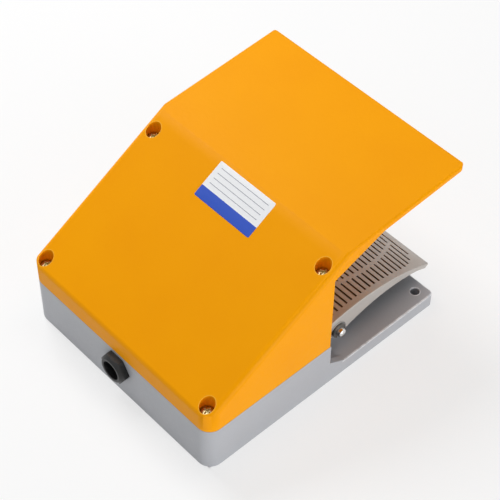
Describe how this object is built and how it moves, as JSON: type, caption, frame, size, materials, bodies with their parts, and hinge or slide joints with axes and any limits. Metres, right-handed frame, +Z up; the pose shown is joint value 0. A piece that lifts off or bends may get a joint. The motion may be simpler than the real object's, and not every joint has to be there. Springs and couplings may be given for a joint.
{
  "type": "industrial foot switch",
  "caption": "Foot switch: cast base with foot plate, sloping orange cover with open hood, ribbed rocking pedal, snap switch inside and a rear cable gland.",
  "frame": {"origin": "on the base's flat underside, midway between its sides and straight below the front face of the box that rises from the foot plate", "axes": "+Z up, +Y towards the cable gland at the rear, -Y towards the pedal's tip and the hood's open front, +X along the pedal's pivot"},
  "size_m": [0.16, 0.2042, 0.1156],
  "materials": {
    "cover_paint": "gloss",
    "base_paint": "satin",
    "cast_aluminium": "satin",
    "bright_steel": "polished",
    "zinc_steel": "satin",
    "spring_steel": "satin",
    "gasket_rubber": "matte",
    "switch_plastic": "matte",
    "plunger_plastic": "satin",
    "gland_plastic": "satin",
    "brass": "satin"
  },
  "bodies": {
    "housing": {"base_casting": "base_paint", "top_cover": "cover_paint", "cover_gasket": "gasket_rubber", "cover_screws_front": "zinc_steel", "cover_screws_rear": "zinc_steel", "cover_screw_washers": "zinc_steel", "pivot_pin": "bright_steel", "pivot_washers": "bright_steel", "pivot_clips": "spring_steel", "return_springs": "spring_steel", "rest_buffer": "gasket_rubber", "switch_bracket": "zinc_steel", "bracket_screws": "zinc_steel", "switch_case": "switch_plastic", "switch_lid": "switch_plastic", "switch_terminals": "brass", "terminal_screws": "zinc_steel", "switch_fixing_screws": "zinc_steel", "switch_fixing_nuts": "zinc_steel", "gland_screw": "gland_plastic", "gland_washer": "zinc_steel", "gland_seal": "gasket_rubber", "earth_screw": "brass", "earth_washer": "brass"},
    "pedal_unit": {"pedal": "cast_aluminium", "tail_arm": "zinc_steel", "tail_arm_screws": "zinc_steel", "adjusting_screw": "zinc_steel", "adjusting_locknut": "zinc_steel"},
    "plunger": {"switch_plunger": "plunger_plastic"}
  },
  "joints": [
    {"name": "pedal_hinge", "type": "hinge", "parent": "housing", "child": "pedal_unit", "pos_m": [0, -0.0195, 0.023], "axis": [1, 0, 0], "range_deg": [0, 5], "stiffness_Nm_per_rad": 16.4, "springref_deg": -7.05, "deforming": ["return_springs"]},
    {"name": "plunger_slide", "type": "slide", "parent": "housing", "child": "plunger", "axis": [0, 0, 1], "range_m": [0, 0.0033]}
  ],
  "couplings": [
    {"joint": "plunger_slide", "follows": "pedal_hinge", "m_per_rad": 0.037}
  ]
}
